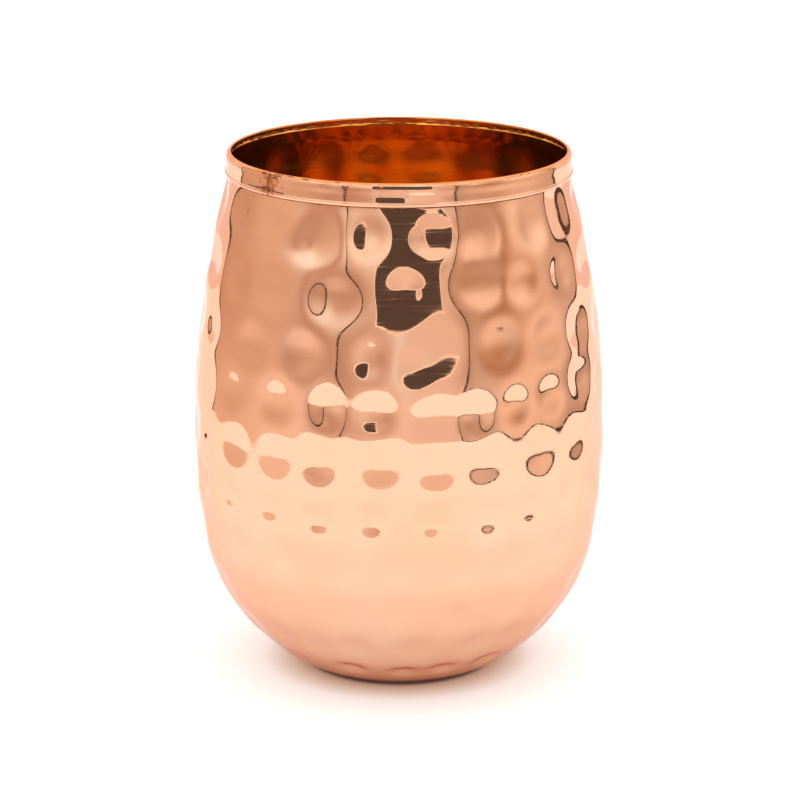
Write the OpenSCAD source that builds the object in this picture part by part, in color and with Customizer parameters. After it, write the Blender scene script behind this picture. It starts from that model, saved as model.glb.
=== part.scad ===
// Hammered copper tumbler: one raised sheet for wall and floor, with a folded capping
// strip soldered over the lip. Millimetres, +Z up, origin at the centre of the base plane.

/* [Body] */
// Height from the base plane to the top of the lip
total_h = 115; // [100:1:130]
// Outside radius at the belly
belly_r = 45; // [42:0.5:48]
// Height of the belly, where the wall is widest
belly_z = 52; // [48:1:56]
// Outside radius of the straight collar under the lip
collar_r = 36.8; // [35:0.1:38]
// Height of the straight collar
collar_h = 5; // [4.5:0.1:7]
// Thickness of the copper sheet
sheet_t = 0.8; // [0.6:0.1:1.2]

/* [Lower curve] */
// Radius of the wall just under the belly
flank_r = 139; // [120:1:160]
// Angle that the flank turns through before the heel begins
flank_turn = 8.6; // [7:0.1:10]
// Radius of the round heel
heel_r = 40.5; // [39:0.5:42]
// Radius of the small turn from heel to base
foot_r = 8; // [5:1:12]

/* [Base] */
// Radius of the hollow in the middle of the base
hollow_r = 14.5; // [10:0.5:16]
// Depth of the hollow
hollow_h = 1.2; // [0.6:0.1:2]

/* [Lip] */
// Thickness of the capping strip
strip_t = 0.5; // [0.4:0.05:0.7]
// Thickness of the solder film between strip and wall
film_t = 0.1; // [0.05:0.01:0.15]
// Height of the strip's outer leg, from the top of the lip
outer_leg = 4.9; // [4:0.1:6]
// Height of the strip's inner leg, from the top of the lip
inner_leg = 1.6; // [1.5:0.1:3]
// Extra thickness of the bead along the outer leg's lower edge
bead_out = 0.15; // [0:0.05:0.3]
// Direction of the strip's butt joint, in degrees from the front, to the right
joint_angle = -47; // [-180:1:180]
// Width of the gap between the strip's ends
joint_gap = 0.4; // [0.2:0.1:0.8]

/* [Hidden] */
$fn = 96;

reach = 400;                               // longer than anything that is cut away
collar_z = total_h - collar_h;             // where the collar begins
shoulder_r = (pow(belly_r - collar_r, 2) + pow(collar_z - belly_z, 2)) / (2 * (belly_r - collar_r));
heel_x = belly_r - flank_r + (flank_r - heel_r) * cos(flank_turn);
heel_z = belly_z - (flank_r - heel_r) * sin(flank_turn);
foot_x = heel_x + sqrt(pow(heel_r - foot_r, 2) - pow(heel_z - foot_r, 2));
foot_turn = asin((heel_z - foot_r) / (heel_r - foot_r));
hollow_ball_r = (pow(hollow_r, 2) + pow(hollow_h, 2)) / (2 * hollow_h);

wall_x = collar_r - sheet_t / 2;           // middle of the wall in the collar
film_r = sheet_t / 2 + film_t;             // from there to the strip's inner face
fold_r = film_r + strip_t;                 // from there to the strip's outer face
fold_z = total_h - fold_r;                 // centre of the fold
bead_r = strip_t / 2 + bead_out;
film_back = 0.2;                           // how far the solder stops short of the inner leg's edge
bead_z = total_h - outer_leg + bead_r;
inner_z = total_h - inner_leg;
gap_turn = joint_gap / collar_r * 180 / PI;

// The part of a disc that its centre sees between two directions
module sector(x, z, r, low, high) {
    middle = (low + high) / 2;
    translate([x, z]) intersection() {
        circle(r);
        polygon([
            [0, 0],
            reach * [cos(low), sin(low)],
            reach * [cos(middle), sin(middle)],
            reach * [cos(high), sin(high)],
        ]);
    }
}

// Half of the vessel's solid section, with its outside moved inwards by inset
module outline(inset, top) {
    intersection() {
        union() {
            intersection() {
                translate([belly_r - shoulder_r, belly_z]) circle(shoulder_r - inset);
                translate([0, belly_z]) square([reach, top - belly_z]);
            }
            sector(belly_r - flank_r, belly_z, flank_r - inset, -flank_turn, 0);
            sector(heel_x, heel_z, heel_r - inset, -foot_turn, -flank_turn);
            sector(foot_x, foot_r, foot_r - inset, -90, -foot_turn);
            polygon([[0, inset], [foot_x, inset], [foot_x, foot_r], [heel_x, heel_z], [0, belly_z]]);
            translate([0, belly_z]) square([collar_r - inset, top - belly_z]);
        }
        square([reach, top]);
    }
}

// The ball that presses the hollow into the base; extra raises it by the sheet
module hollow_ball(extra) {
    translate([0, hollow_h - hollow_ball_r]) circle(hollow_ball_r + extra);
}

// Wall and floor, raised from one sheet
module body_shell() {
    color("#d9965f") rotate_extrude() difference() {
        outline(0, fold_z);
        hollow_ball(0);
        difference() {
            outline(sheet_t, total_h);
            hollow_ball(sheet_t);
        }
    }
}

// Section of the folded strip, with its bead; sunk thickens it inwards, into the solder
module band_section(sunk) {
    under = film_r - sunk;
    intersection() {
        difference() {
            translate([wall_x, fold_z]) circle(fold_r);
            translate([wall_x, fold_z]) circle(under);
        }
        translate([0, fold_z]) square([reach, fold_r]);
    }
    translate([wall_x + under, bead_z]) square([fold_r - under, fold_z - bead_z]);
    translate([wall_x - fold_r, inner_z]) square([fold_r - under, fold_z - inner_z]);
    intersection() {
        translate([wall_x + film_r + strip_t / 2, bead_z]) circle(bead_r);
        translate([wall_x + under, 0]) square([reach, bead_z]);
    }
    intersection() {
        translate([wall_x + film_r + strip_t / 2, bead_z]) circle(bead_r);
        translate([wall_x + film_r, bead_z]) square([reach, bead_r]);
    }
}

// Section of the solder between strip and wall
module film_section() {
    intersection() {
        translate([wall_x, fold_z]) circle(film_r);
        translate([0, fold_z]) square([reach, fold_r]);
    }
    translate([collar_r, bead_z + film_back]) square([film_t, fold_z - bead_z - film_back]);
    translate([wall_x - film_r, inner_z + film_back]) square([film_t, fold_z - inner_z - film_back]);
}

// Copper strip folded over the lip, its ends facing each other across the joint
module rim_band() {
    color("#c9834f") rotate([0, 0, joint_angle - 90 + gap_turn / 2])
        rotate_extrude(angle = 360 - gap_turn) band_section(0);
}

// Solder under the strip, and in the joint between its ends
module rim_solder() {
    color("#8f5b45") {
        rotate_extrude() film_section();
        rotate([0, 0, joint_angle - 90 - gap_turn / 2])
            rotate_extrude(angle = gap_turn) band_section(film_t / 2);
    }
}

body_shell();
rim_band();
rim_solder();
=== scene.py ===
import math

import bpy
import numpy as np
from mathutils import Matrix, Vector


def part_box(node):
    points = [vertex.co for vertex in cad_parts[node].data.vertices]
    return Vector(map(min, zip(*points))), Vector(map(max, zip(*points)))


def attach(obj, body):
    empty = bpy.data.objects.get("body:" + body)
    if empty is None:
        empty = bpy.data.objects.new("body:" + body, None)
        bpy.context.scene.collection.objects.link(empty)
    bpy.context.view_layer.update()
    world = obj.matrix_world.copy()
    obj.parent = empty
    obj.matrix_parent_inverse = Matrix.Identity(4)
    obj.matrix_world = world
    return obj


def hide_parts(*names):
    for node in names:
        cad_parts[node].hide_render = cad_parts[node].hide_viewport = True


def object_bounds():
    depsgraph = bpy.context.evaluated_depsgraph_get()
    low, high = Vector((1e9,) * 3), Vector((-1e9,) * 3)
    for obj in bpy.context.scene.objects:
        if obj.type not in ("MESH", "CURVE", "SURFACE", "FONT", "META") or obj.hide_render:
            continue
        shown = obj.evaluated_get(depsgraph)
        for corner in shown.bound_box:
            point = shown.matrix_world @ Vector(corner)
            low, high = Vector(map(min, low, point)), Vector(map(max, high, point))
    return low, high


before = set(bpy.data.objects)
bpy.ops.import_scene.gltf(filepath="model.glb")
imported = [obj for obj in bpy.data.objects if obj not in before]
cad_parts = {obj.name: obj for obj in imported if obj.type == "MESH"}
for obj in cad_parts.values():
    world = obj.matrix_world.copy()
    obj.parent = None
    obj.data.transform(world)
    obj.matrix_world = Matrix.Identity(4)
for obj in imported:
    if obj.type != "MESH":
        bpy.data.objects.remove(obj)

cad_low, cad_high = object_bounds()
_, shell_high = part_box("body_shell")
band_low, band_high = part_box("rim_band")

MM = 0.001
scene = bpy.context.scene

# ------------------------------------------------------------------ sizes, in millimetres
TOTAL = cad_high[2] / MM                   # top of the lip
BELLY_R = shell_high[0] / MM
BELLY_Z = 52.0
COLLAR_R = 36.8                            # the straight part under the lip
COLLAR_Z = TOTAL - 5.0
SHEET = 0.8
FLANK_R, FLANK_TURN = 139.0, math.radians(8.6)   # the nearly straight flank under the belly
HEEL_R = 40.5                              # the curve from the flank to the foot
FOOT_R = 8.0                               # the tight curve at the foot
HOLLOW_R, HOLLOW_H = 14.5, 1.2             # the shallow hollow under the base
STRIP, FILM = 0.5, 0.1                     # thickness of the strip, and of the solder under it
BAND_LOW = band_low[2] / MM                # lower edge of the capping strip
BAND_R = band_high[0] / MM                 # outside of the strip's bead
INNER_LEG = 1.6
JOINT = math.radians(-47.0)                # the strip's joint, this far to the left of the front
JOINT_GAP = 0.4
THIN, THIN_FROM = 0.45, 104.0              # the sheet at the lip, thinned by the hammer from this height up
LEG_THIN = 0.18                            # the strip's inner leg, which it has thinned too

WALL_X = COLLAR_R - SHEET / 2
FOLD_R = SHEET / 2 + FILM + STRIP
FOLD_Z = TOTAL - FOLD_R
SHOULDER_R = ((BELLY_R - COLLAR_R) ** 2 + (COLLAR_Z - BELLY_Z) ** 2) / (2 * (BELLY_R - COLLAR_R))
HEEL_X = BELLY_R - FLANK_R + (FLANK_R - HEEL_R) * math.cos(FLANK_TURN)
HEEL_Z = BELLY_Z - (FLANK_R - HEEL_R) * math.sin(FLANK_TURN)
FOOT_X = HEEL_X + math.sqrt((HEEL_R - FOOT_R) ** 2 - (HEEL_Z - FOOT_R) ** 2)
FOOT_TURN = math.asin((HEEL_Z - FOOT_R) / (HEEL_R - FOOT_R))
HOLLOW_BALL = (HOLLOW_R ** 2 + HOLLOW_H ** 2) / (2 * HOLLOW_H)


# ------------------------------------------------------------------ small helpers
def smooth(x):
    """0 below 0, 1 above 1, and a smooth step between."""
    x = np.clip(x, 0.0, 1.0)
    return x * x * (3 - 2 * x)


def waves(theta, count, size, rng):
    """A gentle random wave that closes on itself round the vessel, with fewer than count crests."""
    total = np.zeros_like(theta)
    for k in range(2, count):
        total += rng.normal() * np.sin(k * theta + rng.uniform(0, 2 * math.pi))
    return size * total / math.sqrt(max(count - 2, 1) / 2)


def arc(cx, cz, r, a0, a1, step):
    """Points along an arc of the section."""
    a = np.linspace(a0, a1, max(2, int(abs(a1 - a0) * r / step) + 1))
    return np.stack([cx + r * np.cos(a), cz + r * np.sin(a)], 1)


def place(theta, r, z):
    """Points at the angle theta from the front (-Y), to the right, in metres."""
    return np.stack(np.broadcast_arrays(r * np.sin(theta), -r * np.cos(theta), z), -1) * MM


def mesh_piece(name, verts, faces):
    """A smooth-shaded mesh object."""
    mesh = bpy.data.meshes.new(name)
    mesh.from_pydata(verts, [], faces)
    mesh.validate()
    mesh.polygons.foreach_set("use_smooth", [True] * len(mesh.polygons))
    mesh.update()
    piece = bpy.data.objects.new(name, mesh)
    scene.collection.objects.link(piece)
    return piece


# ------------------------------------------------------------------ section of the wall's outside
def outside_section():
    """Length, (r, z) and outward normal, from the middle of the base to the top of the collar."""
    step = 0.12
    hollow = HOLLOW_H - HOLLOW_BALL
    a = np.linspace(0, math.asin(HOLLOW_R / HOLLOW_BALL), int(HOLLOW_R / step))
    flat = np.linspace(HOLLOW_R, FOOT_X, int((FOOT_X - HOLLOW_R) / step))[1:]
    top = math.asin((COLLAR_Z - BELLY_Z) / SHOULDER_R)
    collar = np.linspace(COLLAR_Z, FOLD_Z, int((FOLD_Z - COLLAR_Z) / step) + 1)[1:]
    p = np.concatenate([
        np.stack([HOLLOW_BALL * np.sin(a), hollow + HOLLOW_BALL * np.cos(a)], 1),
        np.stack([flat, 0 * flat], 1),
        arc(FOOT_X, FOOT_R, FOOT_R, -math.pi / 2, -FOOT_TURN, step)[1:],
        arc(HEEL_X, HEEL_Z, HEEL_R, -FOOT_TURN, -FLANK_TURN, step)[1:],
        arc(BELLY_R - FLANK_R, BELLY_Z, FLANK_R, -FLANK_TURN, 0, step)[1:],
        arc(BELLY_R - SHOULDER_R, BELLY_Z, SHOULDER_R, 0, top, step)[1:],
        np.stack([0 * collar + COLLAR_R, collar], 1)])
    # even spacing, then a short running mean that rounds the creases as a hammered sheet has them
    s = np.concatenate([[0], np.cumsum(np.hypot(*np.diff(p, axis=0).T))])
    even = np.arange(0, s[-1], 0.1)
    p = np.stack([np.interp(even, s, p[:, 0]), np.interp(even, s, p[:, 1])], 1)
    half = 8
    pad = np.concatenate([p[1:half + 1][::-1] * [-1, 1], p, 2 * p[-1] - p[-half - 1:-1][::-1]])
    kernel = np.ones(2 * half + 1) / (2 * half + 1)
    p = np.stack([np.convolve(pad[:, 0], kernel, "valid"), np.convolve(pad[:, 1], kernel, "valid")], 1)
    p[0, 0] = 0.0
    t = np.gradient(p, axis=0)
    t /= np.hypot(t[:, :1], t[:, 1:])
    return even, p, np.stack([t[:, 1], -t[:, 0]], 1)


SECTION_S, SECTION_P, SECTION_N = outside_section()
S_END = float(SECTION_S[-1])


def s_at(z):
    """Length along the section at the height z on the wall."""
    rising = SECTION_P[:, 0] > FOOT_X
    return float(np.interp(z, SECTION_P[rising, 1], SECTION_S[rising]))


# ------------------------------------------------------------------ hammer marks
# Rows from the lip down, in mm and degrees: height, angle between marks, usual width, tallness and depth,
# then the marks at the front that are set one by one: direction from the front (to the right), height,
# width, tallness and depth. The rest of a row goes on round the back at its usual size, a little varied.
ROWS = [
    (104.0, 18.0, 8.5, 8.0, 0.60, [
        (-62, 105.5, 10.5, 9.5, 0.60), (-43.5, 104.5, 6.0, 6.0, 0.35), (-31, 101.0, 9.5, 6.5, 0.55),
        (-25.5, 103.0, 9.5, 11.0, 0.85), (-9, 104.0, 7.5, 7.5, 0.70), (10.5, 104.0, 10.5, 8.5, 1.00),
        (25, 103.5, 9.5, 9.5, 0.70), (47, 104.0, 8.0, 9.0, 0.85), (63, 105.0, 12.0, 12.0, 1.15)]),
    (92.0, 18.0, 8.5, 8.5, 0.60, [
        (-56, 91.5, 8.5, 8.5, 0.70), (-40.5, 91.0, 8.5, 8.0, 0.50), (-19, 91.0, 11.5, 9.5, 0.90),
        (-22, 90.5, 7.0, 9.5, 0.20), (2, 93.0, 7.5, 8.0, 1.00), (25, 94.0, 11.5, 9.0, 0.75),
        (39.5, 93.0, 7.5, 8.0, 0.80), (57, 93.0, 8.0, 8.5, 0.95)]),
    (80.0, 18.0, 8.5, 8.5, 0.65, [
        (-68, 80.0, 6.5, 6.5, 0.60), (-46, 79.5, 8.0, 7.5, 0.75), (-28, 79.5, 8.5, 8.5, 0.70),
        (-8, 79.5, 6.5, 8.0, 0.60), (4.5, 77.5, 7.0, 7.5, 0.45), (11, 81.5, 11.0, 11.0, 0.45),
        (29.5, 81.0, 9.0, 9.0, 0.80), (46.5, 81.0, 8.5, 8.5, 0.75), (63, 80.5, 10.0, 9.0, 1.10)]),
    (68.0, 15.0, 7.5, 7.5, 0.70, [
        (-68, 68.0, 8.0, 8.0, 0.50), (-53, 68.5, 8.0, 8.0, 0.60), (-35.5, 68.5, 8.5, 8.5, 0.65),
        (-20, 68.5, 7.0, 8.0, 0.75), (-6.5, 68.0, 8.0, 7.5, 0.80), (10, 67.0, 10.0, 8.0, 0.60),
        (21.5, 67.0, 7.0, 7.5, 0.85), (33.5, 68.0, 6.5, 7.0, 0.65), (46, 68.5, 7.5, 7.5, 0.75),
        (61, 70.0, 9.5, 9.0, 1.05)]),
    (57.0, 15.5, 9.0, 9.0, 0.50, [
        (-66.5, 57.0, 6.5, 6.0, 0.50), (-51, 57.0, 7.5, 7.5, 0.45), (-35.5, 57.0, 7.5, 8.0, 0.40),
        (-22, 57.0, 8.0, 8.5, 0.60), (-5, 57.5, 9.0, 9.0, 0.50), (10, 56.5, 9.0, 9.0, 0.55),
        (23.5, 57.0, 8.5, 9.0, 0.55), (41.5, 57.0, 7.5, 8.5, 0.55), (57, 57.0, 7.5, 8.0, 0.50)]),
    (45.0, 16.0, 7.5, 7.0, 0.75, [
        (-54.5, 45.5, 7.0, 6.0, 0.60), (-46, 43.5, 8.0, 10.0, 0.15), (-38, 45.5, 7.0, 6.0, 0.60),
        (-22.5, 44.5, 7.5, 6.0, 0.70), (-7.5, 45.0, 6.5, 6.5, 0.80), (8.5, 45.0, 6.5, 7.0, 0.75),
        (25, 45.0, 7.5, 8.0, 0.85), (38, 45.5, 7.0, 7.0, 0.65), (54, 46.0, 7.0, 7.0, 0.65)]),
    (33.5, 16.5, 8.0, 7.5, 0.45, []),
    (23.0, 17.5, 8.0, 7.5, 0.40, []),
    (14.0, 19.0, 7.5, 6.5, 0.45, [
        (-44, 14.0, 7.5, 6.5, 0.40), (-30, 13.5, 7.5, 6.5, 0.35), (-15, 14.0, 7.5, 6.5, 0.50),
        (5, 14.0, 8.0, 6.5, 0.50), (26, 14.0, 7.5, 6.5, 0.50), (42, 14.5, 7.5, 6.5, 0.45)]),
    (6.5, 20.0, 6.5, 5.5, 0.45, [
        (-48, 6.5, 6.5, 5.0, 0.70), (-20, 6.5, 6.0, 4.5, 0.80), (2, 6.0, 6.0, 4.5, 0.80),
        (18, 6.5, 6.0, 4.5, 0.80), (39, 7.0, 7.0, 5.0, 0.80)]),
]


def all_marks():
    """Angle, length along the section, half width, half height, depth and wall radius of every mark."""
    rng = np.random.default_rng(7)
    marks = []
    for z, pitch, width, tall, depth, placed in ROWS:
        marks += placed
        start, end = (placed[-1][0], placed[0][0] + 360) if placed else (0, 360)
        steps = round((end - start) / pitch)
        for i in range(1 if placed else 0, steps):
            marks.append((start + i * (end - start) / steps + rng.uniform(-2.2, 2.2),
                          z + rng.uniform(-1.0, 1.0), width * rng.uniform(0.85, 1.2),
                          tall * rng.uniform(0.85, 1.15), depth * rng.uniform(0.75, 1.2)))
    out = []
    for a, z, w, h, d in marks:
        s = s_at(z)
        out.append((math.radians(a), s, w / 2, h / 2, d, float(np.interp(s, SECTION_S, SECTION_P[:, 0]))))
    return out


MARKS = all_marks()
PIT_REACH = 1.9                            # how far a pit reaches, in half sizes


def mark_depth(theta, s):
    """How far the hammer has pushed the sheet inwards, in mm, over a grid of theta by s."""
    total = np.zeros((len(s), len(theta)))
    for a, s0, half_w, half_h, d, r in MARKS:
        turn = np.angle(np.exp(1j * (theta - a)))
        rows = np.nonzero(np.abs(s - s0) < half_h * PIT_REACH)[0]
        cols = np.nonzero(np.abs(turn) * r < half_w * PIT_REACH)[0]
        if len(rows) and len(cols):
            q = (turn[None, cols] * r / half_w) ** 2 + ((s[rows, None] - s0) / half_h) ** 2
            total[np.ix_(rows, cols)] += d * np.exp(-q ** 1.25)
    return total


# ------------------------------------------------------------------ body shell
def skin_angles(count, front_share, front_half):
    """Angles round the vessel, closer together at the front, where the marks are looked at closest."""
    n_front = int(count * front_share)
    front = np.linspace(-front_half, front_half, n_front, endpoint=False)
    back = np.linspace(front_half, 2 * math.pi - front_half, count - n_front, endpoint=False)
    return np.concatenate([front, back])


def skin_rows(base, wall, lip):
    """Lengths along the section, with so many rows on the base, up the hammered wall and at the lip."""
    s_low, s_high = s_at(3.0), s_at(109.5)
    return np.concatenate([np.linspace(1.5, s_low, base)[:-1], np.linspace(s_low, s_high, wall)[:-1],
                           np.linspace(s_high, S_END, lip)])


def build_shell():
    """The wall and base: an outer and an inner skin that both follow the hammer marks."""
    verts, faces, skin_ends = [], [], []

    def skin(theta, s, depth, flip):
        px, pz, nx, nz = (np.interp(s, SECTION_S, v)[:, None] for v in (*SECTION_P.T, *SECTION_N.T))
        thinned = 1 - (1 - THIN / SHEET) * smooth((s - s_at(THIN_FROM)) / 5)
        in_by = mark_depth(theta, s) + depth * thinned[:, None]
        pts = place(theta[None, :], px - in_by * nx, pz - in_by * nz)
        start = sum(len(v) for v in verts)
        n, m = len(theta), len(s)
        verts.append(pts.reshape(-1, 3))
        i, j = np.meshgrid(np.arange(m - 1), np.arange(n), indexing="ij")
        a, b = start + i * n + j, start + i * n + (j + 1) % n
        quads = np.stack([a, b, b + n, a + n], -1).reshape(-1, 4)
        faces.extend((quads[:, ::-1] if flip else quads).tolist())
        centre = start + m * n
        verts.append(np.array([[0, 0, (SECTION_P[0, 1] + depth) * MM]]))
        for k in range(n):
            tri = [centre, start + (k + 1) % n, start + k]
            faces.append(tri[::-1] if flip else tri)
        skin_ends.append(len(faces))
        return start + (m - 1) * n

    outer = skin_angles(440, 0.60, math.radians(85))
    inner = skin_angles(264, 0.50, math.radians(90))
    top_out = skin(outer, skin_rows(24, 136, 8), 0.0, False)
    top_in = skin(inner, skin_rows(14, 74, 6), SHEET, True)
    # the sheet's top edge, between the two skins' last rings
    turn_out = np.append(outer, outer[0] + 2 * math.pi)
    turn_in = np.append(inner, inner[0] + 2 * math.pi)
    i = k = 0
    while i < len(outer) or k < len(inner):
        a, b = top_out + i % len(outer), top_in + k % len(inner)
        if k >= len(inner) or (i < len(outer) and turn_out[i + 1] <= turn_in[k + 1]):
            i += 1
            faces.append([a, top_out + i % len(outer), b])
        else:
            k += 1
            faces.append([a, top_in + k % len(inner), b])
    piece = mesh_piece("hammered_shell", np.concatenate(verts).tolist(), faces)
    inside = [1 if skin_ends[0] <= f < skin_ends[1] else 0 for f in range(len(faces))]
    piece.data.polygons.foreach_set("material_index", inside)
    return piece


# ------------------------------------------------------------------ capping strip
# Which way the strip's outside looks, in degrees above level, at lengths along it from the crest (mm).
FACE_LENGTH = [0, 0.35, 0.65, 0.95, 1.2, 1.55, 1.9, 2.4, 2.9, 3.2, 3.8, 4.3]
FACE_TILT = [90, 62, 38, 21, 13, 5.5, 1, -1, 0, 0, 0, 0]
# The bead under it, as steps in from its outside and up from its lower edge: full at the top, then
# falling away to the edge, which is turned in to the wall.
BEAD = [(0.27, 0.90), (0.15, 0.86), (0.07, 0.80), (0.02, 0.71), (0.0, 0.62), (0.01, 0.52), (0.04, 0.42),
        (0.09, 0.30), (0.15, 0.19), (0.23, 0.08), (0.32, 0.02), (0.42, 0.0)]


def lip_section(theta, rng):
    """The strip's closed section at every angle: (len(theta), points, 2), and how many are outer face."""
    # how much the face flares above the bead, and leans out at its middle; more at the front
    turn = np.degrees(np.angle(np.exp(1j * theta)))
    flare = 4.0 + waves(theta, 24, 0.8, rng)
    flare += 5.5 * smooth((turn + 9) / 3) * (1 - smooth(turn / 4))
    flare -= 2.0 * smooth((turn - 2) / 3) * (1 - smooth((turn - 12) / 4))
    lean = waves(theta, 30, 0.5, rng) + 2.8 * smooth((turn - 1) / 3) * (1 - smooth((turn - 10) / 4))
    ripple = waves(theta, 150, 0.35, rng)
    length = np.linspace(0, FACE_LENGTH[-1], 46)
    tilt = np.interp(length, FACE_LENGTH, FACE_TILT)[None, :] + 0 * theta[:, None]
    tilt = tilt + flare[:, None] * smooth((length - 2.6) / 0.8)
    tilt = tilt - lean[:, None] * smooth((length - 1.5) / 0.5) * (1 - smooth((length - 2.5) / 0.6))
    tilt = tilt + ripple[:, None] * smooth((length - 0.6) / 0.4) * (1 - smooth((length - 1.7) / 0.6))
    mid = np.radians((tilt[:, 1:] + tilt[:, :-1]) / 2)
    step = np.diff(length)
    out = np.concatenate([0 * theta[:, None], np.cumsum(np.sin(mid) * step, 1)], 1)
    down = np.concatenate([0 * theta[:, None], np.cumsum(np.cos(mid) * step, 1)], 1)
    # the bead's upper end is fixed; the face is fitted between it and the top of the lip
    bead = np.array([(BAND_R - back, BAND_LOW + up) for back, up in BEAD])
    bead_top = bead[0]
    z = TOTAL - down * (TOTAL - bead_top[1]) / down[:, -1:]
    x = bead_top[0] - (out[:, -1:] - out)
    crest = x[:, :1]
    under = COLLAR_R + FILM
    thin_x, thin_r = COLLAR_R - THIN / 2, THIN / 2 + FILM
    ragged = waves(theta, 110, 0.10, rng) + waves(theta, 24, 0.08, rng)
    inner_low = TOTAL - INNER_LEG + 0.3 + np.clip(ragged + 0.2, 0, 0.6)
    # inside: up the strip's back, over the sheet's edge, down the inner leg's back
    a = np.linspace(0, math.pi, 13)
    fold_in = np.stack([thin_x + thin_r * np.cos(a), FOLD_Z + (FOLD_R - STRIP) * np.sin(a)], 1)
    back = np.array([[under, BAND_LOW + 0.02], [under, BAND_LOW + 1.4]])
    fixed = np.concatenate([bead[1:], back, fold_in])
    fixed = np.broadcast_to(fixed, (len(theta),) + fixed.shape)
    leg_in = thin_x - thin_r
    leg_out = leg_in - LEG_THIN
    low = np.stack([np.stack([0 * inner_low + leg_in, inner_low + 0.05], 1),
                    np.stack([0 * inner_low + leg_in - 0.08, inner_low], 1),
                    np.stack([0 * inner_low + leg_out + 0.06, inner_low + 0.06], 1),
                    np.stack([0 * inner_low + leg_out, inner_low + 0.2], 1)], 1)
    # from the leg up to the crest, a fold that is hammered nearly flat on top
    a = np.linspace(math.pi, math.pi / 2, 14)[:-1]
    round_x, round_z = np.sign(np.cos(a)) * np.abs(np.cos(a)) ** 0.55, np.sin(a) ** 0.8
    high = TOTAL - 0.6
    fold_x = crest + (crest - leg_out) * round_x
    fold_z = high + (TOTAL - high) * round_z + 0 * crest
    fold_out = np.stack([fold_x, fold_z], 2)
    face = np.stack([x, z], 2)
    return np.concatenate([face, fixed, low, fold_out], 1), len(length)


def sweep(theta, section, closed):
    """Points and faces of closed sections swept round the axis."""
    n, m = section.shape[:2]
    pts = place(theta[:, None], section[..., 0], section[..., 1]).reshape(-1, 3)
    faces = []
    for i in range(n if closed else n - 1):
        a, b = i * m, (i + 1) % n * m
        faces += [[a + k, a + (k + 1) % m, b + (k + 1) % m, b + k] for k in range(m)]
    if not closed:
        faces.append(list(range(m))[::-1])
        faces.append([(n - 1) * m + k for k in range(m)])
    return pts, faces


def facing_out(pts, faces):
    """The faces of a closed part, all turned over if they face inwards."""
    corners = np.array([[f[0], f[k], f[k + 1]] for f in faces for k in range(1, len(f) - 1)])
    a, b, c = (pts[corners[:, k]] for k in range(3))
    volume = np.sum(a * np.cross(b, c))
    return faces if volume > 0 else [f[::-1] for f in faces]


rng = np.random.default_rng(21)
half_gap = JOINT_GAP / 2 / COLLAR_R
lip_theta = np.linspace(JOINT + half_gap, JOINT + 2 * math.pi - half_gap, 640)
lip_profile, face_points = lip_section(lip_theta, rng)


def build_strip():
    """The folded strip, open at the joint."""
    pts, faces = sweep(lip_theta, lip_profile, False)
    # the cut ends aren't quite square
    m = lip_profile.shape[1]
    for end, away in ((0, 1), (len(lip_theta) - 1, -1)):
        ragged = np.clip(rng.normal(0.02, 0.03, 8), 0, 0.06)
        move = np.interp(np.arange(m), np.linspace(0, m, 8), ragged) / COLLAR_R * away
        ring = pts[end * m:(end + 1) * m]
        c, s = np.cos(move), np.sin(move)
        x, y = ring[:, 0].copy(), ring[:, 1].copy()
        ring[:, 0], ring[:, 1] = x * c - y * s, x * s + y * c
    return mesh_piece("capping_strip", pts.tolist(), faces)


# ------------------------------------------------------------------ solder
def face_point(theta, length):
    """(r, z) on the strip's outside at the angle theta, length mm down from the crest."""
    i = int(np.argmin(np.abs(np.angle(np.exp(1j * (lip_theta - theta))))))
    along = lip_profile[i, :face_points + 14]
    s = np.concatenate([[0], np.cumsum(np.hypot(*np.diff(along, axis=0).T))])
    return np.interp(length, s, along[:, 0]), np.interp(length, s, along[:, 1])


def solder_run(theta0, theta1, length0, length1, width, height, rng):
    """A run of solder lying on the strip, from one place on its outer face to another."""
    n = max(10, int(abs(theta1 - theta0) * COLLAR_R / 0.12), int(abs(length1 - length0) / 0.12))
    t = np.linspace(0, 1, n)
    rough = 1 + 0.5 * np.interp(t, np.linspace(0, 1, n // 2), rng.normal(0, 0.5, n // 2))
    taper = np.sqrt(np.clip(np.sin(math.pi * (0.02 + 0.96 * t)), 0, None))
    wide = width / 2 * np.clip(rough, 0.35, 1.8) * taper
    tall = height * np.clip(rough[::-1], 0.3, 1.6) * taper
    flat = abs(theta1 - theta0) * COLLAR_R > abs(length1 - length0)
    m = 9
    ring = []
    for i in range(n):
        theta = theta0 + (theta1 - theta0) * t[i]
        length = length0 + (length1 - length0) * t[i]
        for k in range(m):
            a = 2 * math.pi * k / m
            across, up = math.cos(a) * wide[i], math.sin(a) * tall[i]
            turn = theta if flat else theta + across / COLLAR_R
            down = length + across if flat else length
            (r0, z0), (r1, z1) = face_point(turn, down - 0.05), face_point(turn, down + 0.05)
            size = math.hypot(r1 - r0, z1 - z0) or 1.0
            nr, nz = (z0 - z1) / size, (r1 - r0) / size
            ring.append(place(np.array(turn), (r0 + r1) / 2 + up * nr, (z0 + z1) / 2 + up * nz))
    faces = [[i * m + k, i * m + (k + 1) % m, (i + 1) * m + (k + 1) % m, (i + 1) * m + k]
             for i in range(n - 1) for k in range(m)]
    faces += [list(range(m))[::-1], [(n - 1) * m + k for k in range(m)]]
    return np.array(ring), faces


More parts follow.
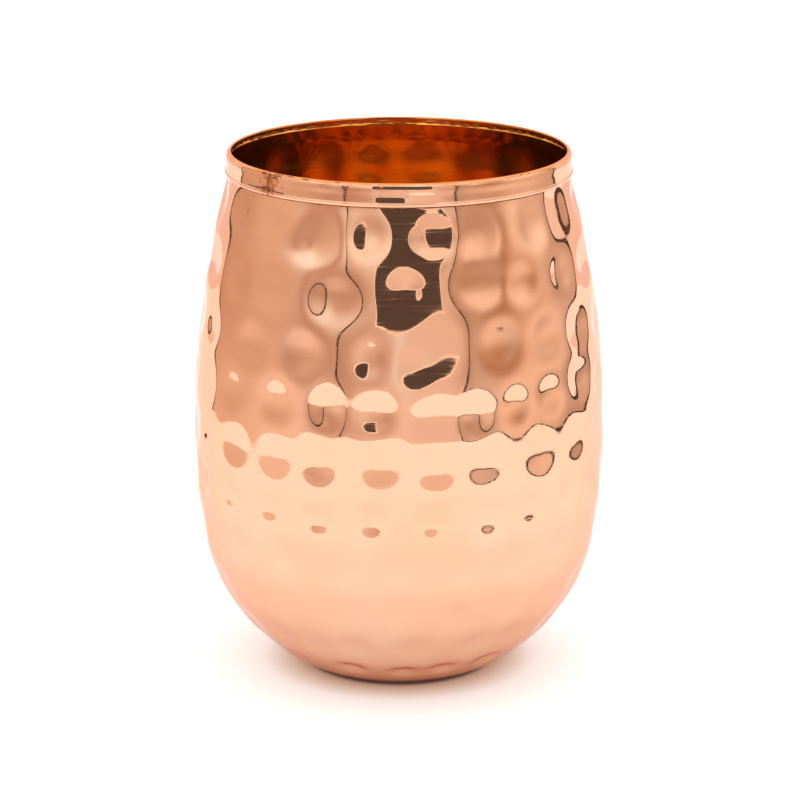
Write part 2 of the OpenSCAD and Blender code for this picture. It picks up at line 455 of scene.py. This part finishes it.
def build_solder():
    """The solder that shows: two fillets, the filled joint, and the runs and spots beside it."""
    rng = np.random.default_rng(5)
    parts = []
    # fillet under the inner leg, where the solder has run out unevenly
    theta = np.linspace(0, 2 * math.pi, 520, endpoint=False)
    low = TOTAL - INNER_LEG + 0.42
    drop = 0.28 + np.clip(waves(theta, 90, 0.10, rng) + waves(theta, 20, 0.08, rng), -0.2, 0.3)
    wall = COLLAR_R - THIN
    section = np.stack([np.stack([0 * theta + wall + 0.08, 0 * theta + low + 0.5], 1),
                        np.stack([0 * theta + wall + 0.08, low - drop], 1),
                        np.stack([0 * theta + wall - 0.03, low - drop], 1),
                        np.stack([0 * theta + wall - 0.10, low - 0.45 * drop], 1),
                        np.stack([0 * theta + wall - 0.23, 0 * theta + low + 0.12], 1),
                        np.stack([0 * theta + wall - 0.23, 0 * theta + low + 0.5], 1)], 1)
    parts.append(sweep(theta, section[:, ::-1], True))
    # fillet under the bead, which reaches in to the wall where a hammer mark has moved it away; its dark
    # oxide is partly painted shade, standing in for the shadow gap under the bead
    drop = 0.40 + np.clip(waves(theta, 60, 0.05, rng), -0.12, 0.12)
    dented = COLLAR_R - mark_depth(theta, np.array([s_at(BAND_LOW)]))[0]
    section = np.stack([np.stack([dented - 0.1, 0 * theta + BAND_LOW + 0.6], 1),
                        np.stack([0 * theta + COLLAR_R + FILM, 0 * theta + BAND_LOW + 0.6], 1),
                        np.stack([0 * theta + COLLAR_R + FILM + 0.12, 0 * theta + BAND_LOW - 0.02], 1),
                        np.stack([(dented + COLLAR_R) / 2 + 0.09, BAND_LOW - 0.5 * drop], 1),
                        np.stack([dented + 0.03, BAND_LOW - 0.9 * drop], 1),
                        np.stack([dented - 0.1, BAND_LOW - drop], 1)], 1)
    parts.append(sweep(theta, section[:, ::-1], True))
    # the joint between the strip's ends: the strip's own section, a little sunk
    section = np.broadcast_to(lip_profile[0], (5,) + lip_profile[0].shape).copy()
    sunk = np.array([0.004, 0.008, 0.006, 0.010, 0.004])[:, None]
    section[:, :face_points, 0] -= sunk
    theta = np.linspace(JOINT - half_gap * 1.6, JOINT + half_gap * 1.6, 5)
    parts.append(sweep(theta, section, False))
    joint_faces = range(sum(len(f) for _, f in parts[:-1]), sum(len(f) for _, f in parts))
    # runs and spots along the bead near the joint, down the face beside it, and on the crest: directions
    # they start and end at, how far down from the crest they start and end, width and height
    deg = math.radians
    runs = [(-58, -50, 4.05, 4.10, 0.28, 0.11), (-53, -43.5, 3.95, 4.05, 0.70, 0.20),
            (-45, -39.5, 4.15, 4.20, 0.28, 0.11), (-49.5, -46, 3.60, 3.70, 0.30, 0.10),
            (-47, -47.3, 1.3, 3.4, 0.14, 0.04), (-46.0, -47.6, 0.7, 1.7, 0.24, 0.06),
            (-50.5, -48.0, 0.60, 0.85, 0.45, 0.12), (-47.5, -45.5, 0.95, 0.75, 0.40, 0.11),
            (-45.5, -43.0, 1.35, 1.15, 0.40, 0.10), (-44.5, -41.5, 0.80, 0.70, 0.30, 0.09),
            (-44.5, -40.5, 0.40, 0.30, 0.26, 0.09), (-39.5, -36.0, 0.30, 0.42, 0.24, 0.08),
            (-33, -30.0, 0.55, 0.60, 0.32, 0.09), (-21, -19.0, 0.45, 0.5, 0.22, 0.06),
            (43, 44.2, 0.5, 0.55, 0.20, 0.06), (46.5, 47.7, 0.45, 0.5, 0.18, 0.06)]
    for a0, a1, l0, l1, width, height in runs:
        parts.append(solder_run(deg(a0), deg(a1), l0, l1, width, height, rng))
    verts, faces = [], []
    for pts, part_faces in parts:
        start = sum(len(v) for v in verts)
        verts.append(pts)
        faces += [[start + k for k in f] for f in facing_out(pts, part_faces)]
    piece = mesh_piece("lip_solder", np.concatenate(verts).tolist(), faces)
    slots = [1 if f in joint_faces else 0 for f in range(len(faces))]
    piece.data.polygons.foreach_set("material_index", slots)
    return piece


shell = build_shell()
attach(shell, "root")
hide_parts("body_shell")

strip = build_strip()
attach(strip, "root")
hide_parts("rim_band")

solder = build_solder()
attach(solder, "root")
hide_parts("rim_solder")


# ------------------------------------------------------------------ materials
class Shader:
    """The nodes of a new material, or of a world, with short calls for adding and joining them."""

    def __init__(self, owner):
        self.owner = bpy.data.materials.new(owner) if isinstance(owner, str) else owner
        self.owner.use_nodes = True
        self.tree = self.owner.node_tree
        self.bsdf = self.tree.nodes.get("Principled BSDF")

    def add(self, kind, inputs=None, **settings):
        node = self.tree.nodes.new(kind)
        for key, value in settings.items():
            setattr(node, key, value)
        for key, value in (inputs or {}).items():
            if isinstance(value, bpy.types.NodeSocket):
                self.tree.links.new(value, node.inputs[key])
            else:
                node.inputs[key].default_value = value
        return node

    def math(self, operation, a, b=None, c=None, clamp=False):
        values = {i: v for i, v in enumerate((a, b, c)) if v is not None}
        return self.add("ShaderNodeMath", values, operation=operation, use_clamp=clamp).outputs[0]

    def vector(self, operation, a, b=None, scale=None):
        values = {0: a}
        if b is not None:
            values[1] = b
        if scale is not None:
            values["Scale"] = scale
        return self.add("ShaderNodeVectorMath", values, operation=operation).outputs[0]

    def place(self):
        """Object coordinates, which here are metres in the CAD's frame."""
        return self.add("ShaderNodeTexCoord").outputs["Object"]

    def noise(self, where, scale, detail=3.0, rough=0.55):
        """Noise from 0 to 1 at so many cells per metre along each axis."""
        at = self.vector("MULTIPLY", where, scale)
        inputs = {"Vector": at, "Scale": 1.0, "Detail": detail, "Roughness": rough}
        return self.add("ShaderNodeTexNoise", inputs).outputs["Fac"]

    def radius(self, where):
        """Distance from the vessel's axis."""
        axes = self.add("ShaderNodeSeparateXYZ", {0: where})
        across = self.math("MULTIPLY", axes.outputs["X"], axes.outputs["X"])
        return self.math("SQRT", self.math("MULTIPLY_ADD", axes.outputs["Y"], axes.outputs["Y"], across))

    def span(self, value, low, high, to_low=0.0, to_high=1.0):
        """The value carried from low..high to to_low..to_high, and held at the ends."""
        return self.add("ShaderNodeMapRange", {"Value": value, "From Min": low, "From Max": high,
                                               "To Min": to_low, "To Max": to_high}).outputs["Result"]

    def mix(self, factor, a, b):
        """Colour a where the factor is 0, and b where it is 1."""
        node = self.add("ShaderNodeMix", data_type="RGBA")
        for key, value in (("Factor", factor), ("A", a), ("B", b)):
            socket = [s for s in node.inputs if s.name == key and s.enabled][0]
            if isinstance(value, bpy.types.NodeSocket):
                self.tree.links.new(value, socket)
            else:
                socket.default_value = value if key == "Factor" else (*value, 1)
        return [s for s in node.outputs if s.enabled][0]

    def set(self, name, value):
        """Set or join one of the shader's inputs."""
        if isinstance(value, bpy.types.NodeSocket):
            self.tree.links.new(value, self.bsdf.inputs[name])
        else:
            self.bsdf.inputs[name].default_value = value


COPPER = (0.80, 0.485, 0.33)
COPPER_WARM = (0.78, 0.45, 0.285)
EDGE_TINT = (0.94, 0.74, 0.71, 1)           # how the metal mirrors at a glancing angle


def outside_copper():
    """Polished copper: fine polish lines round the vessel, faint clouds, and a scuffed resting face."""
    m = Shader("copper_polished")
    at = m.place()
    lines = m.noise(at, (60, 60, 3600), 3.0, 0.7)
    clouds = m.noise(at, (35, 35, 35), 4.0)
    height = m.add("ShaderNodeSeparateXYZ", {0: at}).outputs["Z"]
    rest = m.span(height, 0.0004, 0.00005)
    scuffs = m.noise(at, (700, 2600, 700), 5.0, 0.7)
    scuffed = m.math("MULTIPLY", rest, m.span(scuffs, 0.42, 0.60))
    m.set("Metallic", 1.0)
    m.set("Base Color", m.mix(m.span(clouds, 0.42, 0.72), COPPER, COPPER_WARM))
    m.set("Specular Tint", EDGE_TINT)
    rough = m.span(lines, 0.48, 0.72, 0.02, 0.16)
    rough = m.math("ADD", rough, m.span(clouds, 0.4, 0.8, 0.0, 0.02))
    m.set("Roughness", m.math("MULTIPLY_ADD", scuffed, 0.35, rough))
    bump = m.add("ShaderNodeBump", {"Strength": 1.0, "Distance": 0.0000018, "Height": lines})
    m.set("Normal", bump.outputs["Normal"])
    return m.owner


def inside_copper():
    """The bowl: satin copper, deeper in colour, with polish lines round it."""
    m = Shader("copper_bowl")
    at = m.place()
    lines = m.noise(at, (60, 60, 3000), 2.0)
    clouds = m.noise(at, (45, 45, 12), 4.0)
    height = m.add("ShaderNodeSeparateXYZ", {0: at}).outputs["Z"]
    heated = m.span(height, (TOTAL - 11) * MM, (TOTAL - 2) * MM, 0.0, 0.55)
    copper = m.mix(m.span(clouds, 0.35, 0.7), (0.89, 0.52, 0.14), (0.82, 0.44, 0.10))
    m.set("Metallic", 1.0)
    m.set("Base Color", m.mix(heated, copper, (0.84, 0.32, 0.05)))
    m.set("Specular Tint", (0.85, 0.40, 0.16, 1))
    rough = m.span(lines, 0.3, 0.8, 0.14, 0.25)
    glossier = m.span(height, (TOTAL - 10) * MM, (TOTAL - 4) * MM, 1.0, 0.5)
    m.set("Roughness", m.math("MULTIPLY", rough, glossier))
    bump = m.add("ShaderNodeBump", {"Strength": 1.0, "Distance": 0.000003, "Height": lines})
    m.set("Normal", bump.outputs["Normal"])
    return m.owner


def strip_copper():
    """The capping strip: polished, with burnished marks, and heat stains beside the soldered joint."""
    m = Shader("copper_strip")
    at = m.place()
    lines = m.noise(at, (160, 160, 4200), 2.0)
    clouds = m.noise(at, (120, 120, 260), 4.0)
    joint_at = tuple(float(v) for v in place(np.array(JOINT), BAND_R, TOTAL - 1.6))
    away = m.vector("MULTIPLY", m.vector("SUBTRACT", at, joint_at), (1.0, 1.0, 0.6))
    distance = m.add("ShaderNodeVectorMath", {0: away}, operation="LENGTH").outputs["Value"]
    near = m.span(distance, 0.0070, 0.0012)
    patches = m.noise(at, (1400, 1400, 900), 4.0, 0.65)
    stain = m.span(m.math("MULTIPLY_ADD", near, 0.35, patches), 0.74, 0.86)
    # burnt on the inner side of the fold, with a ragged edge
    radius = m.radius(at)
    burnt = m.math("MULTIPLY_ADD", m.noise(at, (420, 420, 900), 4.0, 0.65), 0.0012, radius)
    inner = m.span(burnt, (WALL_X + 1.3) * MM, (WALL_X + 0.85) * MM)
    copper = m.mix(m.span(clouds, 0.4, 0.7), COPPER, COPPER_WARM)
    copper = m.mix(inner, copper, (0.80, 0.30, 0.08))
    m.set("Specular Tint", EDGE_TINT)
    m.set("Metallic", 1.0)
    m.set("Base Color", m.mix(stain, copper, (0.50, 0.17, 0.07)))
    rough = m.span(lines, 0.4, 0.8, 0.05, 0.11)
    rough = m.math("MULTIPLY_ADD", inner, 0.10, rough)
    m.set("Roughness", m.math("MULTIPLY_ADD", stain, 0.15, rough))
    bump = m.add("ShaderNodeBump", {"Strength": 1.0, "Distance": 0.000003, "Height": clouds})
    m.set("Normal", bump.outputs["Normal"])
    return m.owner


def solder_oxide():
    """Copper-bearing solder, dark red where it has burnt and orange where it was brushed. On the fillet
    under the bead the near-black is also painted shade for the gap there.
    """
    m = Shader("solder_oxide")
    at = m.place()
    patches = m.noise(at, (1500, 1500, 1500), 4.0, 0.65)
    grain = m.noise(at, (6000, 6000, 6000), 3.0)
    inner = m.span(m.radius(at), (COLLAR_R - 0.1) * MM, (COLLAR_R - 0.25) * MM)
    bright = m.mix(inner, (0.42, 0.10, 0.04), (0.50, 0.17, 0.05))
    # near-black burnt solder; on the fillet under the bead it is also painted shade for the gap there
    dark = m.mix(inner, (0.055, 0.014, 0.006), (0.40, 0.12, 0.03))
    m.set("Metallic", m.math("MULTIPLY_ADD", inner, 0.6, 0.2))
    m.set("Specular IOR Level", 0.15)
    m.set("Base Color", m.mix(m.span(patches, 0.50, 0.75), dark, bright))
    m.set("Roughness", m.span(grain, 0.3, 0.7, 0.28, 0.55))
    bump = m.add("ShaderNodeBump", {"Strength": 0.5, "Distance": 0.00002, "Height": patches})
    m.set("Normal", bump.outputs["Normal"])
    return m.owner


shell.data.materials.append(outside_copper())
shell.data.materials.append(inside_copper())
strip.data.materials.append(strip_copper())
solder.data.materials.append(solder_oxide())
solder.data.materials.append(strip.data.materials[0])


# ------------------------------------------------------------------ light tent
# A white tent stands round the object, and a plain room round the tent. Only mirroring surfaces see them.
# Sizes are in mm; where the left and the right side differ, they are given by side, -1 and 1.
EXPOSURE = 1.28                            # brightness of the tent's white
FRONT_Y, TOP_Z = -372.0, 330.0             # the front wall and the ceiling
SIDE_X = {-1: 252.0, 1: 268.0}             # how far the side walls stand
BACK_Y = {-1: 154.0, 1: 150.0}             # where they end, behind the object
EDGE = {-1: 13.0, 1: 20.0}                 # width of the dark line at those ends
SEAM = 9.0                                 # width of the dark line in the front corners
FOOT_LINE = 6.0                            # height of the one along the right wall's foot
SLOT_X, SLOT_LOW = (-86.0, 166.0), 108.0   # the slot in the front wall, up to the ceiling
HALO = 7.0                                 # width of the bright line round it
ROOM_X, ROOM_TOP = 900.0, 700.0            # the plain room: its side walls, and the height of its walls
ROOM_FRONT, ROOM_BACK = -700.0, 600.0      # where its ceiling starts and ends, and its back wall stands
ROOM_SIDE_END = 700.0                      # its side walls run on a little behind that
WHITE = (1.0, 0.93, 0.87)
ROOM = (0.92, 0.80, 0.73)
LINE = (0.08, 0.05, 0.04)
SLOT_COLOR = (0.09, 0.07, 0.06)
HALO_COLOR = (1.15, 0.98, 0.84)
WALL_RISE = 300.0
# Walls: colour at the floor, change of it up to WALL_RISE, and soft patches of light or shade:
# centre along the wall and height, spread each way (mm), and the colour they add.
FRONT_WALL = ((0.83, 0.65, 0.57), (0.02, 0.13, 0.15), [
    (-225, 60, 200, 140, (-0.34, -0.37, -0.38)), (-85, 0, 200, 70, (0.17, 0.20, 0.21)),
    (-80, 245, 75, 85, (0.12, 0.23, 0.28)), (-160, 295, 55, 140, (0.17, 0.18, 0.17)),
    (30, 100, 50, 55, (0.09, 0.21, 0.25)), (60, 95, 40, 45, (-0.07, -0.07, -0.08)),
    (150, 215, 85, 55, (-0.26, -0.28, -0.25)), (260, 95, 65, 55, (-0.25, -0.27, -0.28)),
    (245, 280, 20, 75, (-0.11, -0.18, -0.19))])
LEFT_WALL = ((0.86, 0.66, 0.54), (-0.08, -0.08, -0.09), [
    (-290, 55, 200, 140, (-0.30, -0.27, -0.23)), (-190, 20, 145, 40, (0.26, 0.27, 0.28)),
    (90, 70, 200, 55, (-0.12, -0.13, -0.13)), (145, 195, 130, 140, (-0.19, -0.15, -0.13)),
    (-235, 190, 45, 65, (-0.14, -0.23, -0.24)), (-330, 285, 90, 110, (0.20, 0.39, 0.49)),
    (-180, 295, 75, 105, (0.25, 0.51, 0.63)), (-95, 315, 60, 70, (0.14, 0.33, 0.44))])
RIGHT_WALL = ((0.58, 0.47, 0.41), (0.08, 0.01, -0.03), [
    (-80, 115, 160, 85, (-0.32, -0.39, -0.42)), (-70, 20, 170, 65, (0.60, 0.56, 0.52)),
    (10, 10, 155, 35, (-0.35, -0.35, -0.34)), (-80, 150, 65, 65, (0.40, 0.43, 0.43)),
    (5, 180, 75, 95, (0.44, 0.50, 0.50)), (-5, 305, 140, 85, (0.16, 0.22, 0.23)),
    (-225, 195, 35, 45, (0.25, 0.29, 0.29)), (-245, 280, 80, 85, (0.28, 0.26, 0.26)),
    (-350, 180, 40, 120, (-0.12, -0.12, -0.12))])


def card(name, corners, color, wall=None, along="X"):
    """A card that only mirrors see, of one colour or with a wall's soft patches."""
    mesh = bpy.data.meshes.new(name)
    mesh.from_pydata([tuple(c * MM for c in p) for p in corners], [], [[0, 1, 2, 3]])
    obj = bpy.data.objects.new(name, mesh)
    scene.collection.objects.link(obj)
    m = Shader(name)
    m.tree.nodes.clear()
    emission = m.add("ShaderNodeEmission", {"Color": (*color, 1), "Strength": EXPOSURE})
    if wall:
        base, rise, patches = wall
        axes = m.add("ShaderNodeSeparateXYZ", {0: m.place()})
        x, z = axes.outputs[along], axes.outputs["Z"]
        total = m.vector("SCALE", rise, scale=m.math("MULTIPLY", z, 1 / (WALL_RISE * MM)))
        total = m.vector("ADD", total, base)
        for x0, z0, wide, high, add in patches:
            u = m.math("MULTIPLY_ADD", x, 1 / (wide * MM), -x0 / wide)
            v = m.math("MULTIPLY_ADD", z, 1 / (high * MM), -z0 / high)
            q = m.math("MULTIPLY_ADD", u, u, m.math("MULTIPLY", v, v))
            fade = m.math("EXPONENT", m.math("MULTIPLY", q, -1.0))
            total = m.vector("ADD", total, m.vector("SCALE", add, scale=fade))
        m.tree.links.new(m.vector("MAXIMUM", total, LINE), emission.inputs["Color"])
    out = m.add("ShaderNodeOutputMaterial")
    m.tree.links.new(emission.outputs[0], out.inputs[0])
    mesh.materials.append(m.owner)
    obj.visible_camera = False
    obj.visible_diffuse = False
    obj.visible_shadow = False


def upright(name, x0, y0, x1, y1, z0, z1, color, **more):
    """A standing card between two places, from the height z0 to z1."""
    card(name, [(x0, y0, z0), (x1, y1, z0), (x1, y1, z1), (x0, y0, z1)], color, **more)


# the slot stands in front, the bright line round it 1 mm behind, and the wall 1 mm behind that
front_y = FRONT_Y - 2
halo_y = FRONT_Y - 1
upright("tent_front", -SIDE_X[-1], front_y, SIDE_X[1], front_y, 0, TOP_Z, LINE, wall=FRONT_WALL)
upright("tent_halo", SLOT_X[0] - HALO, halo_y, SLOT_X[1] + HALO, halo_y, SLOT_LOW - HALO, TOP_Z, HALO_COLOR)
upright("tent_slot", SLOT_X[0], FRONT_Y, SLOT_X[1], FRONT_Y, SLOT_LOW, TOP_Z, SLOT_COLOR)
for side, wall in ((-1, LEFT_WALL), (1, RIGHT_WALL)):
    x = side * SIDE_X[side]
    inner = x - side                       # just inside the wall, for the lines on it
    back_y = BACK_Y[side]
    upright(f"tent_side_{side + 1}", x, FRONT_Y, x, back_y, 0, TOP_Z, LINE, wall=wall, along="Y")
    upright(f"tent_seam_{side + 1}", inner, FRONT_Y + 1, inner - side * SEAM, FRONT_Y + 1, 0, TOP_Z, LINE)
    upright(f"tent_corner_{side + 1}", inner, FRONT_Y, inner, FRONT_Y + SEAM, 0, TOP_Z, LINE)
    upright(f"tent_edge_{side + 1}", inner, back_y - EDGE[side], inner, back_y, 0, TOP_Z, LINE)
upright("tent_foot", SIDE_X[1] - 1, FRONT_Y, SIDE_X[1] - 1, BACK_Y[1], 0, FOOT_LINE, LINE)
ceiling = [(-ROOM_X, ROOM_FRONT), (ROOM_X, ROOM_FRONT), (ROOM_X, ROOM_BACK), (-ROOM_X, ROOM_BACK)]
card("tent_ceiling", [(x, y, TOP_Z) for x, y in ceiling], WHITE)
upright("tent_back", -ROOM_X, ROOM_BACK, ROOM_X, ROOM_BACK, 0, ROOM_TOP, ROOM)
for side in (-1, 1):
    x = side * ROOM_X
    upright(f"tent_far_{side + 1}", x, ROOM_FRONT, x, ROOM_SIDE_END, 0, ROOM_TOP, ROOM)


# ------------------------------------------------------------------ floor and room light
# The floor is a white light table, lit a little from below as well as by the room. Round the foot its
# colour holds a painted shadow, warmed by a painted glow as of light off the copper, and a nearly black
# painted contact shadow in a thin line at the foot. Each tint starts at the first distance from the axis
# (mm) and is full at the second.
TABLE_GLOW = 0.02
PAINTED_SHADOW_GLOW_R = (30.0, 21.5)
PAINTED_CONTACT_SHADOW_R = (21.4, 19.8)
floor_mesh = bpy.data.meshes.new("floor")
floor_mesh.from_pydata([(-3, -2, 0), (3, -2, 0), (3, 4, 0), (-3, 4, 0)], [], [[0, 1, 2, 3]])
floor = bpy.data.objects.new("floor", floor_mesh)
scene.collection.objects.link(floor)
table = Shader("floor_white")
from_axis = table.radius(table.place())
# painted shadow with painted copper glow, and painted contact shadow, both by distance from the axis
painted_shadow_glow = table.span(from_axis, PAINTED_SHADOW_GLOW_R[0] * MM, PAINTED_SHADOW_GLOW_R[1] * MM)
painted_contact_shadow = table.span(from_axis, PAINTED_CONTACT_SHADOW_R[0] * MM, PAINTED_CONTACT_SHADOW_R[1] * MM)
# the floor's white, darkened and warmed by the painted shadow, then near black in the painted contact
# shadow
table_color = table.mix(painted_shadow_glow, (0.62, 0.60, 0.585), (0.52, 0.36, 0.26))
table.set("Base Color", table.mix(painted_contact_shadow, table_color, (0.13, 0.06, 0.035)))
table.set("Roughness", 0.6)
table.set("Specular IOR Level", 0.0)
table.set("Emission Color", (1.0, 0.98, 0.96, 1))
table.set("Emission Strength", TABLE_GLOW)
floor_mesh.materials.append(table.owner)

# The room's light is brightest low down all round, which keeps the shadow close to the foot.
SKY, HORIZON = 1.70, 7.0
world = bpy.data.worlds.new("world")
scene.world = world
room = Shader(world)
direction = room.add("ShaderNodeTexCoord").outputs["Generated"]
up = room.add("ShaderNodeSeparateXYZ", {0: direction}).outputs["Z"]
low_down = room.math("POWER", room.math("SUBTRACT", 1.0, room.math("ABSOLUTE", up), clamp=True), 3.0)
strength = room.math("MULTIPLY_ADD", low_down, HORIZON, SKY)
background = room.tree.nodes["Background"]
room.tree.links.new(strength, background.inputs["Strength"])
background.inputs["Color"].default_value = (1, 1, 1, 1)

scene.view_settings.view_transform = "Standard"
scene.view_settings.look = "None"


# ------------------------------------------------------------------ camera
# 0.7 m in front of the object's axis, looking 15.7 degrees down through a long lens
cam_data = bpy.data.cameras.new("camera")
cam = bpy.data.objects.new("camera", cam_data)
scene.collection.objects.link(cam)
cam_data.sensor_width = 36.0
cam_data.lens = 149.04
cam_data.clip_end = 50.0
cam.location = (0.0002, -0.700, 0.2556)
cam.rotation_euler = (math.pi / 2 - math.radians(15.70), 0, 0)
scene.camera = cam
